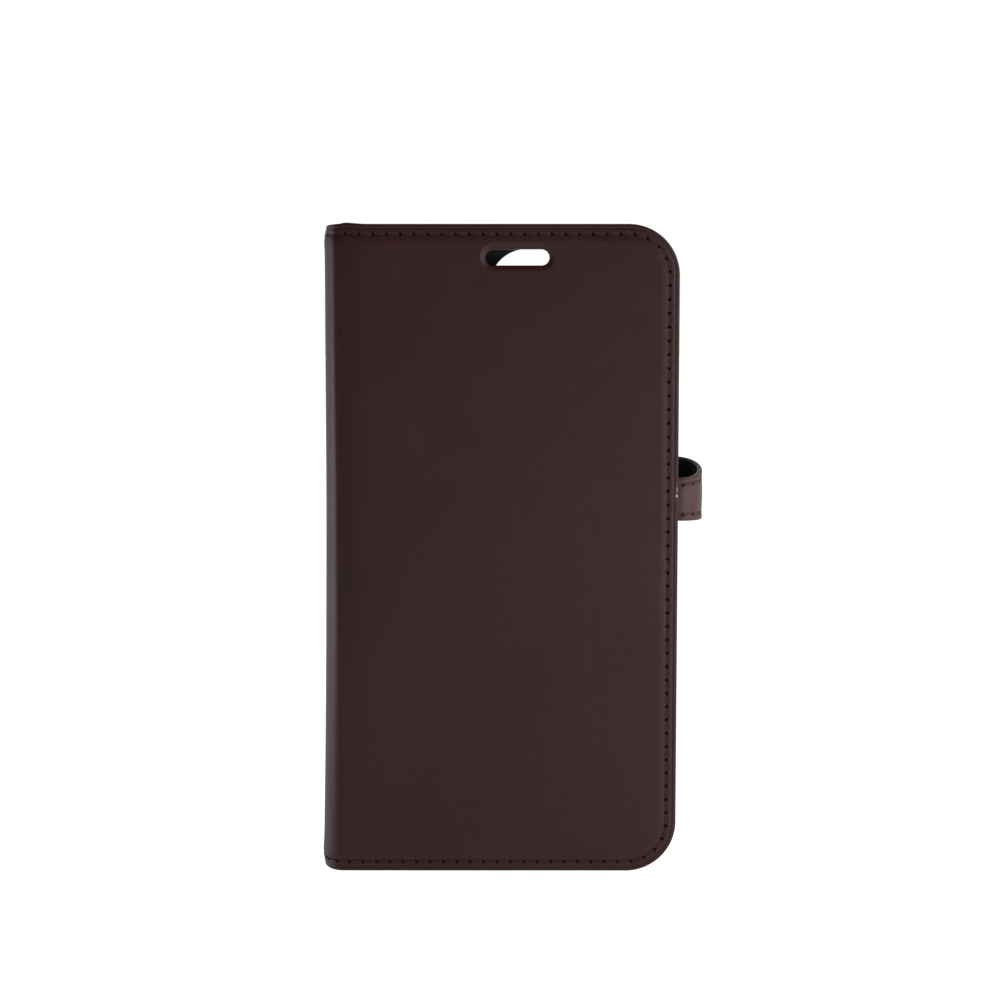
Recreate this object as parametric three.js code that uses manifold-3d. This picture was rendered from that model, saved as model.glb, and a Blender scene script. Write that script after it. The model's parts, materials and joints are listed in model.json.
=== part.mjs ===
/**
 * Phone wallet case: a book-style folio of dark brown leather round a black moulded tray.
 *
 * Units are millimetres. X runs from the spine to the free edge, Y from the front cover to the
 * back cover, and Z up the case. The origin is under the middle of the case, which stands on
 * its bottom edge. The front cover is hinged on the spine and the spine on the back cover. A
 * strap sewn into the front cover's free edge bends round to a magnet tab behind the back.
 */
import * as THREE from 'three';
import { mergeVertices } from 'three/addons/utils/BufferGeometryUtils.js';
import Module from 'manifold-3d';

const wasm = await Module();
wasm.setup();

// ---- driving dimensions ---------------------------------------------------------------

const GAP = 0.1; // air between two flat layers
const CLEAR = 0.3; // air round anything that moves or lies in a window
const PAST = 2; // how far a cutting tool runs past the face it cuts

const phone = { width: 77.2, height: 160.7, depth: 7.85, centre: 0.9 };
const cover = { left: -44.15, right: 42.1, height: 167, corner: 13, crease: 0.7 };
const boardInset = 3.4; // the stiffening boards lie inside the stitch line
const liningInset = 0.6; // linings stop just short of the turned leather edge
const spineBulge = 5; // how far the spine stands out past the creases
// Depth of each spine layer under the spine's outer face, and its thickness
const spineLayers = { leather: [0, 1.0], board: [1.1, 0.6], lining: [1.8, 0.4] };
const bareAtCrease = { spine: 2, cover: 2.4 }; // leather without board on each side of a crease
const stitch = { inset: 2.65, groove: 1.0, thread: 0.8, depth: 0.5, lift: 0.4 };
const slot = { width: 16.6, height: 4.4, up: 158.6 }; // earpiece slot through the front cover
const camera = { left: -6.35, right: 36.65, low: 118, high: 161.4, corner: 10 };
const tray = { wall: 1.2, slack: 0.15, lip: 0.8, lipDepth: 0.55, corner: 12.5 };
const strap = {
  low: 91.5, width: 10.8, tongue: 35, bendX: 42.7, bulge: 6.05, tabEnd: 19.5, rise: 4.8, drop: 0.6,
  endCorner: 4.5, stitchInset: 1.6, leather: 0.8, lining: 0.5,
};
const magnet = { left: 23.5, right: 37.5, height: 8, thickness: 0.6 };
const catchSteel = { margin: 1, thickness: 0.6 }; // the steel reaches past the magnet all round
const bond = { left: -28, right: 31, low: 14, high: 108, corner: 4 }; // pad behind the tray

// Thickness of each layer and the air behind it, from the front face to the strap's tab
const stack = layOut([
  ['frontLeather', 1.0, GAP],
  ['frontBoard', 0.8, GAP],
  ['frontLining', 0.4, GAP],
  ['cashPocket', 0.45, GAP],
  ['innerPocket', 0.45, GAP],
  ['middlePocket', 0.45, GAP],
  ['outerPocket', 0.45, CLEAR],
  ['shell', phone.depth + tray.wall + tray.lipDepth, GAP],
  ['pad', 0.3, GAP],
  ['backLining', 0.4, GAP],
  ['backBoard', 0.8, GAP],
  ['backLeather', 1.0, CLEAR],
  ['tabLining', strap.lining, GAP],
  ['tabLeather', strap.leather, 0],
]);

function layOut(layers) {
  const total = layers.reduce((sum, [, thickness, air]) => sum + thickness + air, 0);
  let y = -total / 2;
  const places = {};
  for (const [name, thickness, air] of layers) {
    places[name] = [y, y + thickness];
    y += thickness + air;
  }
  return places;
}

// ---- materials ------------------------------------------------------------------------

const paint = (color, roughness, metalness = 0) =>
  new THREE.MeshStandardMaterial({ color, roughness, metalness });

const leather = paint(0x3b2a29, 0.55);
const edgeLeather = paint(0x4a3632, 0.6);
const thread = paint(0x33231f, 0.8);
const microfibre = paint(0x17171a, 0.9);
const pocketLeather = paint(0x1f1c1d, 0.6);
const board = paint(0x6f675c, 0.9);
const rubber = paint(0x101216, 0.7);
const adhesive = paint(0xc9c5bb, 0.8);
const steel = paint(0xa9abad, 0.35, 1);

// ---- solids ---------------------------------------------------------------------------

/** Turns a closed three.js geometry into a manifold solid. */
function solid(geometry) {
  const bare = geometry.clone();
  bare.deleteAttribute('normal');
  bare.deleteAttribute('uv');
  const merged = mergeVertices(bare, 1e-4);
  return new wasm.Manifold(new wasm.Mesh({
    numProp: 3,
    vertProperties: new Float32Array(merged.attributes.position.array),
    triVerts: new Uint32Array(merged.index.array),
  }));
}

/** Turns a manifold solid back into a three.js geometry. */
function geometryOf(body) {
  const mesh = body.getMesh();
  const geometry = new THREE.BufferGeometry();
  geometry.setAttribute('position', new THREE.BufferAttribute(mesh.vertProperties, 3));
  geometry.setIndex(new THREE.BufferAttribute(mesh.triVerts, 1));
  return geometry;
}

const cut = (geometry, ...tools) =>
  geometryOf(tools.reduce((body, tool) => body.subtract(solid(tool)), solid(geometry)));

const join = (geometry, ...others) =>
  geometryOf(others.reduce((body, other) => body.add(solid(other)), solid(geometry)));

const trim = (geometry, keep) => geometryOf(solid(geometry).intersect(solid(keep)));

/** Extrudes an outline drawn in X and Z from y0 to y1. */
function plate(shape, [y0, y1]) {
  const options = { depth: y1 - y0, bevelEnabled: false, curveSegments: 5 };
  return new THREE.ExtrudeGeometry(shape, options).rotateX(Math.PI / 2).translate(0, y1, 0);
}

/** Extrudes an outline drawn in X and Y from z0 to z1. */
function column(shape, [z0, z1]) {
  const options = { depth: z1 - z0, bevelEnabled: false };
  return new THREE.ExtrudeGeometry(shape, options).translate(0, 0, z0);
}

function block([x0, x1], [y0, y1], [z0, z1]) {
  const box = new THREE.BoxGeometry(x1 - x0, y1 - y0, z1 - z0);
  return box.translate((x0 + x1) / 2, (y0 + y1) / 2, (z0 + z1) / 2);
}

// ---- outlines -------------------------------------------------------------------------

/** A cover's outline set in from its edges: square at the spine, round at the free corners. */
function coverOutline(left, inset) {
  const right = cover.right - inset;
  const top = cover.height - inset;
  const radius = cover.corner - inset;
  const shape = new THREE.Shape();
  shape.moveTo(left, inset);
  shape.lineTo(right - radius, inset);
  shape.absarc(right - radius, inset + radius, radius, -Math.PI / 2, 0, false);
  shape.lineTo(right, top - radius);
  shape.absarc(right - radius, top - radius, radius, 0, Math.PI / 2, false);
  shape.lineTo(left, top);
  shape.closePath();
  return shape;
}

/** A band that follows a cover's top, free and bottom edges and is open at the spine. */
function edgeBand(left, inset, width) {
  const outer = coverOutline(left, inset - width / 2);
  const inner = coverOutline(left - PAST, inset + width / 2);
  return [outer, inner];
}

function roundedRectangle([x0, x1], [z0, z1], radius) {
  const shape = new THREE.Shape();
  shape.moveTo(x0 + radius, z0);
  shape.lineTo(x1 - radius, z0);
  shape.absarc(x1 - radius, z0 + radius, radius, -Math.PI / 2, 0, false);
  shape.lineTo(x1, z1 - radius);
  shape.absarc(x1 - radius, z1 - radius, radius, 0, Math.PI / 2, false);
  shape.lineTo(x0 + radius, z1);
  shape.absarc(x0 + radius, z1 - radius, radius, Math.PI / 2, Math.PI, false);
  shape.lineTo(x0, z0 + radius);
  shape.absarc(x0 + radius, z0 + radius, radius, Math.PI, Math.PI * 1.5, false);
  shape.closePath();
  return shape;
}

/** The earpiece slot's stadium outline, made larger all round by grow. */
function slotOutline(grow) {
  const halfWidth = slot.width / 2 + grow;
  const halfHeight = slot.height / 2 + grow;
  const across = [phone.centre - halfWidth, phone.centre + halfWidth];
  const up = [slot.up - halfHeight, slot.up + halfHeight];
  return roundedRectangle(across, up, halfHeight - 0.01);
}

const cameraOutline = (grow) => roundedRectangle(
  [camera.left - grow, camera.right + grow],
  [camera.low - grow, camera.high + grow],
  camera.corner + grow,
);

/** A cover layer as a plate, with through holes of the given outlines. */
function coverLayer(left, inset, across, ...holes) {
  const shape = coverOutline(left, inset);
  shape.holes.push(...holes);
  return plate(shape, across);
}

/** A thread or its groove, laid along a cover's edge between two depths. */
function edgeRibbon(left, width, across) {
  const [outer, inner] = edgeBand(left, stitch.inset, width);
  const [y0, y1] = across;
  return cut(plate(outer, across), plate(inner, [y0 - PAST, y1 + PAST]));
}

// ---- spine ----------------------------------------------------------------------------

const spineMiddle = (stack.frontLeather[0] + stack.backLeather[1]) / 2;
const spineHalf = (stack.backLeather[1] - stack.frontLeather[0]) / 2;

/** Plan of one spine layer: half an ellipse's band, set in by inset, stopping at the creases. */
function spineBand(inset, thickness, stop) {
  const steps = 22;
  const curve = (depth) => {
    const across = spineBulge - depth;
    const along = spineHalf - depth;
    const start = Math.acos(-stop / across);
    const points = [];
    for (let i = 0; i <= steps; i += 1) {
      const angle = start + ((2 * Math.PI - 2 * start) * i) / steps;
      const x = cover.left + across * Math.cos(angle);
      points.push(new THREE.Vector2(x, spineMiddle + along * Math.sin(angle)));
    }
    return points;
  };
  return new THREE.Shape([...curve(inset), ...curve(inset + thickness).reverse()]);
}

// ---- strap ----------------------------------------------------------------------------

const strapCentre = (front, back) => (front[0] + front[1] + back[0] + back[1]) / 4;
const strapMiddle = strapCentre(stack.frontBoard, stack.tabLeather);
const strapHalf = (stack.tabLeather[0] + stack.tabLeather[1]) / 2 - strapMiddle;
const strapUp = [strap.low, strap.low + strap.width];

// The strap flexes where its bend runs at 45 degrees to the covers
const flexAngle = Math.atan2(strapHalf, strap.bulge);
const flexSpeed = strap.bulge * Math.sin(flexAngle) * Math.SQRT2;
const flexSlack = CLEAR / 2 / flexSpeed;

/** Points on the strap's bend between two angles, moved outwards by offset. */
function bendPoints(offset, from, to) {
  const steps = 14;
  const points = [];
  for (let i = 0; i <= steps; i += 1) {
    const angle = from + ((to - from) * i) / steps;
    points.push(new THREE.Vector2(
      strap.bendX + (strap.bulge + offset) * Math.cos(angle),
      strapMiddle + (strapHalf + offset) * Math.sin(angle),
    ));
  }
  return points;
}

/** Plan of a stretch of the strap: a bend from one angle to another, with straight ends. */
function strapPlan([inner, outer], from, to, frontX = null, backX = null) {
  const side = (offset) => {
    const points = bendPoints(offset, from, to);
    if (frontX !== null) {
      points.unshift(new THREE.Vector2(frontX, strapMiddle - strapHalf - offset));
    }
    if (backX !== null) {
      points.push(new THREE.Vector2(backX, strapMiddle + strapHalf + offset));
    }
    return points;
  };
  return new THREE.Shape([...side(outer), ...side(inner).reverse()]);
}

/** Widens the strap from the front cover to the back: its top edge climbs, its bottom drops. */
function widen(geometry) {
  const position = geometry.attributes.position;
  const rootY = strapMiddle - strapHalf;
  for (let i = 0; i < position.count; i += 1) {
    const along = (position.getY(i) - rootY) / (2 * strapHalf);
    const up = (position.getZ(i) - strap.low) / strap.width;
    const climb = (strap.rise * up - strap.drop * (1 - up)) * along;
    position.setZ(i, position.getZ(i) + climb);
  }
  return geometry;
}

const leatherOffsets = [-strap.leather / 2, strap.leather / 2];
const liningOffsets = [-strap.leather / 2 - GAP - strap.lining, -strap.leather / 2 - GAP];
const grooveOffsets = [strap.leather / 2 - stitch.depth, strap.leather / 2 + PAST];
const threadOffsets = [grooveOffsets[0] + GAP, grooveOffsets[0] + stitch.lift];
const strapStitchLines = [strapUp[0] + strap.stitchInset, strapUp[1] - strap.stitchInset];
const around = (middle, width) => [middle - width / 2, middle + width / 2];

/** One straight line of stitching round the middle of the strap. */
function sideRibbon(offsets, line, width, overrun) {
  const end = flexAngle - flexSlack + overrun;
  return column(strapPlan(offsets, -end, end), around(line, width));
}

/** The stitching round the tab: up both edges and across the end, in one ribbon. */
function tabRibbon(offsets, width, overrun) {
  const start = flexAngle + flexSlack - overrun;
  const inset = strap.stitchInset;
  const flat = [strapMiddle + strapHalf + offsets[0], strapMiddle + strapHalf + offsets[1]];
  const outer = roundedRectangle(
    [strap.tabEnd + inset - width / 2, strap.bendX + 2 * strap.bulge],
    [strapUp[0] + inset - width / 2, strapUp[1] - inset + width / 2],
    strap.endCorner - inset + width / 2,
  );
  const inner = roundedRectangle(
    [strap.tabEnd + inset + width / 2, strap.bendX + 2 * strap.bulge + PAST],
    [strapUp[0] + inset + width / 2, strapUp[1] - inset - width / 2],
    strap.endCorner - inset - width / 2,
  );
  const loop = cut(plate(outer, flat), plate(inner, [flat[0] - PAST, flat[1] + PAST]));
  const square = block([strap.tabEnd, strap.bendX], flat, strapUp);
  const ends = strapStitchLines.map((line) => column(
    strapPlan(offsets, start, Math.PI / 2, null, strap.bendX - CLEAR), around(line, width)));
  return join(trim(loop, square), ...ends);
}

// ---- moulded tray ---------------------------------------------------------------------

const trayGrow = tray.slack + tray.wall;
const trayX = [
  phone.centre - phone.width / 2 - trayGrow,
  phone.centre + phone.width / 2 + trayGrow,
];
const trayMiddle = cover.height / 2;
const trayZ = [
  trayMiddle - phone.height / 2 - trayGrow,
  trayMiddle + phone.height / 2 + trayGrow,
];
const trayDepthMiddle = (stack.shell[0] + stack.shell[1]) / 2;

const trayOutline = (inset) => roundedRectangle(
  [trayX[0] + inset, trayX[1] - inset],
  [trayZ[0] + inset, trayZ[1] - inset],
  tray.corner - inset,
);

// Button pads stand in windows in the tray's walls: side is -1 at the spine, 1 at the free edge
const buttons = {
  volume_up_button: { side: -1, up: 120, length: 10 },
  volume_down_button: { side: -1, up: 106, length: 10 },
  side_button: { side: 1, up: 118, length: 14 },
};
const buttonPad = { width: 4.4, thickness: 1.25, proud: 0.4 };
const muteWindow = { up: 136, length: 8, width: 5 };
const port = { width: 13, depth: 5 };
const grille = { width: 9, depth: 3.2, away: 19 };

/** A button pad, or its window when it is made larger by grow. */
function buttonBlock({ side, up, length }, grow) {
  const outside = side < 0 ? trayX[0] - buttonPad.proud : trayX[1] + buttonPad.proud;
  const inside = outside - side * buttonPad.thickness;
  const deep = grow > 0 ? PAST : 0;
  const across = side < 0 ? [outside - deep, inside + deep] : [inside - deep, outside + deep];
  return block(
    across,
    around(trayDepthMiddle, buttonPad.width + 2 * grow),
    around(up, length + 2 * grow),
  );
}

function phoneShell() {
  const lipBack = stack.shell[0] + tray.lipDepth;
  const floor = stack.shell[1] - tray.wall;
  const tools = [
    plate(trayOutline(tray.wall), [lipBack, floor]),
    plate(trayOutline(tray.wall + tray.lip), [stack.shell[0] - PAST, lipBack + GAP]),
    plate(cameraOutline(0), [floor - PAST, stack.shell[1] + PAST]),
  ];
  for (const button of Object.values(buttons)) {
    tools.push(buttonBlock(button, CLEAR));
  }
  const left = [trayX[0] - PAST, trayX[0] + tray.wall + PAST];
  const under = [trayZ[0] - PAST, trayZ[0] + tray.wall + PAST];
  tools.push(block(left, around(trayDepthMiddle, muteWindow.width),
    around(muteWindow.up, muteWindow.length)));
  tools.push(block(around(phone.centre, port.width),
    around(trayDepthMiddle, port.depth), under));
  for (const side of [-1, 1]) {
    tools.push(block(around(phone.centre + side * grille.away, grille.width),
      around(trayDepthMiddle, grille.depth), under));
  }
  return cut(plate(trayOutline(0), stack.shell), ...tools);
}

// ---- front cover ----------------------------------------------------------------------

const creaseX = cover.left + cover.crease;
const pocketRight = cover.right - liningInset;
const cardHeight = [38, 129]; // the card pockets' lower and upper edges
const cardEdges = { innerPocket: -30, middlePocket: -21, outerPocket: -12 };
const cashEdge = -36;
const boardLeft = cover.left + bareAtCrease.cover;

function leatherPanel(across, groove, ...holes) {
  const panel = coverLayer(creaseX, 0, across, ...holes);
  return cut(panel, edgeRibbon(creaseX - PAST, stitch.groove, groove));
}

function frontLeather() {
  const [face] = stack.frontLeather;
  return leatherPanel(stack.frontLeather, [face - PAST, face + stitch.depth], slotOutline(0));
}

function frontBoard() {
  const notch = block(
    [strap.tongue - CLEAR, cover.right],
    [stack.frontBoard[0] - PAST, stack.frontBoard[1] + PAST],
    [strapUp[0] - CLEAR, strapUp[1] + CLEAR],
  );
  const panel = coverLayer(boardLeft, boardInset, stack.frontBoard, slotOutline(CLEAR));
  return cut(panel, notch);
}

function cardPocket(name) {
  const shape = roundedRectangle([cardEdges[name], pocketRight], cardHeight, 1);
  return plate(shape, stack[name]);
}

/** The part of the strap that is sewn into the front cover, up to its first flex line. */
function strapRoot() {
  const plan = strapPlan(leatherOffsets, -Math.PI / 2, -flexAngle - flexSlack, strap.tongue);
  return widen(column(plan, strapUp));
}

const frontCover = [
  ['front_leather', frontLeather(), leather],
  ['front_thread', edgeRibbon(creaseX, stitch.thread,
    [stack.frontLeather[0] + GAP, stack.frontLeather[0] + stitch.lift]), thread],
  ['front_board', frontBoard(), board],
  ['front_lining', coverLayer(creaseX, liningInset, stack.frontLining, slotOutline(0)),
    microfibre],
  ['cash_pocket', coverLayer(cashEdge, liningInset, stack.cashPocket, slotOutline(0)),
    pocketLeather],
  ['card_pocket_inner', cardPocket('innerPocket'), pocketLeather],
  ['card_pocket_middle', cardPocket('middlePocket'), pocketLeather],
  ['card_pocket_outer', cardPocket('outerPocket'), pocketLeather],
  ['strap_root', strapRoot(), edgeLeather],
];

// ---- spine pieces ---------------------------------------------------------------------

const spineTall = [0, cover.height];
const spineLines = {
  spine_thread_bottom: stitch.inset,
  spine_thread_top: cover.height - stitch.inset,
};

function spineLeather() {
  const grooves = Object.values(spineLines).map((line) => column(
    spineBand(-PAST, PAST + stitch.depth, 0), around(line, stitch.groove)));
  return cut(column(spineBand(...spineLayers.leather, cover.crease), spineTall), ...grooves);
}

const spine = [
  ['spine_leather', spineLeather(), leather],
  ['spine_board', column(spineBand(...spineLayers.board, bareAtCrease.spine),
    [boardInset, cover.height - boardInset]), board],
  ['spine_lining', column(spineBand(...spineLayers.lining, cover.crease),
    [liningInset, cover.height - liningInset]), microfibre],
  ...Object.entries(spineLines).map(([name, line]) => [
    name,
    column(spineBand(GAP, stitch.lift - GAP, cover.crease), around(line, stitch.thread)),
    thread,
  ]),
];

// ---- back cover -----------------------------------------------------------------------

const tabCentre = strap.low + (strap.width + strap.rise - strap.drop) / 2;
const magnetUp = around(tabCentre, magnet.height);
const magnetAcross = around(stack.tabLining[1] + GAP / 2, magnet.thickness);
const catchPlate = [
  [magnet.left - catchSteel.margin, magnet.right + catchSteel.margin],
  around(tabCentre, magnet.height + 2 * catchSteel.margin),
];

function backLeather() {
  const [, face] = stack.backLeather;
  return leatherPanel(stack.backLeather, [face - stitch.depth, face + PAST], cameraOutline(0));
}

function backBoard() {
  const [across, up] = catchPlate;
  const window = plate(
    roundedRectangle([across[0] - CLEAR, across[1] + CLEAR],
      [up[0] - CLEAR, up[1] + CLEAR], 1),
    [stack.backBoard[0] - PAST, stack.backBoard[1] + PAST],
  );
  const panel = coverLayer(boardLeft, boardInset, stack.backBoard, cameraOutline(0.4));
  return cut(panel, window);
}

const backCover = [
  ['back_leather', backLeather(), leather],
  ['back_thread', edgeRibbon(creaseX, stitch.thread,
    [stack.backLeather[1] - stitch.lift, stack.backLeather[1] - GAP]), thread],
  ['back_board', backBoard(), board],
  ['back_lining', coverLayer(creaseX, liningInset, stack.backLining, cameraOutline(0)),
    microfibre],
  ['catch_plate', plate(roundedRectangle(...catchPlate, 1),
    around((stack.backBoard[0] + stack.backBoard[1]) / 2, catchSteel.thickness)), steel],
  ['shell_pad', plate(roundedRectangle([bond.left, bond.right], [bond.low, bond.high],
    bond.corner), stack.pad), adhesive],
  ['phone_shell', phoneShell(), rubber],
  ...Object.entries(buttons).map(([name, button]) => [name, buttonBlock(button, 0), rubber]),
];

// ---- strap pieces ---------------------------------------------------------------------

function strapSide(offsets) {
  const end = flexAngle - flexSlack;
  return column(strapPlan(offsets, -end, end), strapUp);
}

function strapTab(offsets) {
  const start = flexAngle + flexSlack;
  const plan = strapPlan(offsets, start, Math.PI / 2, null, strap.tabEnd);
  const outline = roundedRectangle([strap.tabEnd, strap.bendX + 3 * strap.bulge], strapUp,
    strap.endCorner);
  return trim(column(plan, strapUp), plate(outline, [0, 3 * strapHalf]));
}

// The magnet lies level, in a pocket that is shared by the tab's leather and its lining
const magnetRoom = block(
  [magnet.left - CLEAR, magnet.right + CLEAR],
  [magnetAcross[0] - GAP, magnetAcross[1] + GAP],
  [magnetUp[0] - CLEAR, magnetUp[1] + CLEAR],
);

const strapPieces = [
  ['strap_side_leather', widen(cut(strapSide(leatherOffsets),
    ...strapStitchLines.map((line) => sideRibbon(grooveOffsets, line, stitch.groove, 0.1)))),
    leather],
  ['strap_side_lining', widen(strapSide(liningOffsets)), microfibre],
  ['strap_side_thread_bottom',
    widen(sideRibbon(threadOffsets, strapStitchLines[0], stitch.thread, 0)), thread],
  ['strap_side_thread_top',
    widen(sideRibbon(threadOffsets, strapStitchLines[1], stitch.thread, 0)), thread],
  ['strap_tab_leather', cut(widen(cut(strapTab(leatherOffsets),
    tabRibbon(grooveOffsets, stitch.groove, 0.1))), magnetRoom), leather],
  ['strap_tab_lining', cut(widen(strapTab(liningOffsets)), magnetRoom), microfibre],
  ['strap_tab_thread', widen(tabRibbon(threadOffsets, stitch.thread, 0)), thread],
  ['strap_magnet', block([magnet.left, magnet.right], magnetAcross, magnetUp), steel],
];

// ---- assembly -------------------------------------------------------------------------

const walletCase = new THREE.Group();
for (const pieces of [backCover, spine, frontCover, strapPieces]) {
  const body = new THREE.Group();
  for (const [name, geometry, material] of pieces) {
    const mesh = new THREE.Mesh(geometry, material);
    mesh.name = name;
    body.add(mesh);
  }
  walletCase.add(body);
}

export default walletCase;
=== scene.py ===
"""Looks of the phone wallet case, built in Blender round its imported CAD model.

The case is laid out as flat leather patterns, in millimetres: u runs from the spine to the free
edge and v up the case. Each pattern becomes a thin closed solid, whose two faces are depths
under the leather's outer face, and a wrap function bends it into place.
"""
import json
import math

import bmesh
import bpy
import numpy as np
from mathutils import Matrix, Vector, noise
from mathutils.geometry import delaunay_2d_cdt


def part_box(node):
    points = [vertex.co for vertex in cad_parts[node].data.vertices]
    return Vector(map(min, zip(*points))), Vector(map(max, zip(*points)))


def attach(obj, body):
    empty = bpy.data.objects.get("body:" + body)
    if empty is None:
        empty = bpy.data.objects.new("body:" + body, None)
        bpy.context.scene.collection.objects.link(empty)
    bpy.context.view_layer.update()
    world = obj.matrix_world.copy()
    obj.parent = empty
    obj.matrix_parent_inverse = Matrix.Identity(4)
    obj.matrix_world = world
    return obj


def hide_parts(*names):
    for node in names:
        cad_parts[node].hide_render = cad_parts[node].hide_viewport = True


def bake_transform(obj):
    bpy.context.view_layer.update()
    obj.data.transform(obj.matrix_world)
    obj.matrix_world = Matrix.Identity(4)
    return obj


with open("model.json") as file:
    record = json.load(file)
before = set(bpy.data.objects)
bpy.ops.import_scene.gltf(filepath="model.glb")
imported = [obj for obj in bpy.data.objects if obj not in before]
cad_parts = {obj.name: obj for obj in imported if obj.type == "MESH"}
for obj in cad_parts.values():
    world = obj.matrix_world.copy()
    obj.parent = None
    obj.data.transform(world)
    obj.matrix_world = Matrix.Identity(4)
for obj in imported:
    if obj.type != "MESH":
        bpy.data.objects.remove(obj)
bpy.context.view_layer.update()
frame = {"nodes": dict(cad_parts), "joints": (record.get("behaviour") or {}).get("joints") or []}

MM = 0.001


def span(node, axis):
    """A CAD node's lowest and highest coordinate along an axis, in mm."""
    low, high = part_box(node)
    return low[axis] / MM, high[axis] / MM


def joint(name):
    return next(j for j in frame["joints"] if j["name"] == name)


X, Y, Z = 0, 1, 2

# ---- sizes taken from the frame, in mm ---------

HEIGHT = span("front_leather", Z)[1]
EDGE = span("front_leather", X)[1]
CREASE = joint("cover_hinge")["pos_m"][0] / MM
FRONT = span("front_leather", Y)[0]
BACK = span("back_leather", Y)[1]
SPINE_MIDDLE = (FRONT + BACK) / 2
SPINE_HALF = (BACK - FRONT) / 2

# ---- sizes of the leatherwork, in mm -----------

CORNER = 13.0  # free corners of the covers
STITCH_INSET = 2.65  # stitch line to edge
PITCH = 3.5  # one stitch
# Mesh columns of a stitch, gathered round its needle hole, as shares of the pitch
NEAR_HOLE = (-0.5, -0.27, -0.16, -0.105, -0.07, -0.035, 0, 0.035, 0.07, 0.105, 0.16, 0.27)
EVENLY = (-0.5, -0.17, 0.17)
LEATHER = 1.0
FALL = 0.5  # how far the edge is drawn down towards the lining
SPINE_BULGE = 4.45  # how far the spine stands out at its top and middle
LOW_BULGE = 1.55  # and how much more it stands out at its foot
END_FLARE, END_FLARE_WIDE = 0.25, 3.0  # and at its two sewn ends
SLOT_RIM = 1.5  # width of the rolled rim round the earpiece slot
WINDOW_RIM = 0.9  # and of the camera window's
KINK = 31  # degrees by which the leather turns at the crease, at most
KINK_RISE = 1.3  # the kink grows up the case and is full at HEIGHT / KINK_RISE
TURN_START, TURN_LONG = 1.8, 4.0  # where its face starts to turn there, and over what length
TOP_LIFT, TOP_LIFT_WIDE = 0.35, 3.0  # the sewn top is pushed up beside the crease
TOP_LIFT_AT, TOP_LIFT_TALL = 1.5, 9  # its place from the crease, and how far down it starts
NET_ROWS = 0.866  # between the rows of an even net of triangles, as a share of its spacing


# ---- small maths -------------------------------


def smooth(t):
    t = np.clip(t, 0, 1)
    return t * t * (3 - 2 * t)


def bell(distance, width):
    return np.exp(-((distance / width) ** 2))


def above_zero(t, soft=0.9):
    """t where it is positive and 0 where it is negative, with the corner rounded off."""
    return (t + np.sqrt(t * t + soft * soft)) / 2


def arc_table(across, along, steps=400):
    """Angles and distances along a quarter ellipse, from its end on the long axis."""
    angle = np.linspace(0, math.pi / 2, steps)
    speed = np.hypot(across * np.cos(angle), along * np.sin(angle))
    steps_long = (speed[1:] + speed[:-1]) / 2 * np.diff(angle)
    return angle, np.concatenate([[0], np.cumsum(steps_long)])


_, spine_arc = arc_table(SPINE_BULGE + LOW_BULGE / 4, SPINE_HALF)
SPINE_LONG = spine_arc[-1]
SPINE_EDGE = CREASE - SPINE_LONG  # the middle of the spine, on the flat pattern


# ---- flat patterns -----------------------------


def corner_cut(radius):
    """The area that rounding off a square corner takes away."""
    return (1 - math.pi / 4) * radius**2


class Pattern:
    """A sheet's outline: a rectangle, open on its left, with round corners on its right.

    The stitch line runs round it at inset, from the lower left to the upper left.
    """

    def __init__(self, left, right, low, high, corner, inset, pitch=PITCH, shares=EVENLY):
        self.left, self.right, self.low, self.high = left, right, low, high
        self.corner, self.inset = corner, inset
        self.run = right - left - corner
        self.arc = (corner - inset) * math.pi / 2
        self.side = high - low - 2 * corner
        self.length = 2 * self.run + 2 * self.arc + self.side
        self.stitches = max(1, round(self.length / pitch))
        self.pitch = self.length / self.stitches
        places = [i + 0.5 + share for i in range(self.stitches) for share in shares]
        self.columns = [self.at(self.pitch * place) for place in places]
        self.columns.append(self.at(self.length))

    def at(self, s):
        """The point on the stitch line after a distance s, and the way to the edge there."""
        radius = self.corner - self.inset
        if s <= self.run:
            return (self.left + s, self.low + self.inset), (0, -1)
        s -= self.run
        if s <= self.arc:
            turn = s / radius - math.pi / 2
            return self.round_corner(self.low + self.corner, turn)
        s -= self.arc
        if s <= self.side:
            return (self.right - self.inset, self.low + self.corner + s), (1, 0)
        s -= self.side
        if s <= self.arc:
            return self.round_corner(self.high - self.corner, s / radius)
        s -= self.arc
        return (self.right - self.corner - s, self.high - self.inset), (0, 1)

    def round_corner(self, v, turn):
        way = (math.cos(turn), math.sin(turn))
        radius = self.corner - self.inset
        return (self.right - self.corner + radius * way[0], v + radius * way[1]), way

    def edge_distance(self, u, v):
        """How far points lie inside the outline."""
        distance = np.minimum(np.minimum(v - self.low, self.high - v), self.right - u)
        out = u - (self.right - self.corner)
        up = np.maximum(self.low + self.corner - v, v - (self.high - self.corner))
        return np.where((out > 0) & (up > 0), self.corner - np.hypot(out, up), distance)

    def cut(self):
        """The width, length and area of the flat piece that the sheet is cut from."""
        width, length = self.right - self.left, self.high - self.low
        return width, length, width * length - 2 * corner_cut(self.corner)

    def needle_holes(self):
        """Where the needle went through: the ends of every stitch."""
        return [self.at(self.pitch * (i + 0.5))[0] for i in range(self.stitches)]


class Seam:
    """A straight line of stitching, from one u to another at v = 0."""

    def __init__(self, start, end, pitch):
        self.start, self.length = start, end - start
        self.stitches = round(self.length / pitch)
        self.pitch = self.length / self.stitches

    def at(self, s):
        return (self.start + s, 0), (0, 1)


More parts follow.
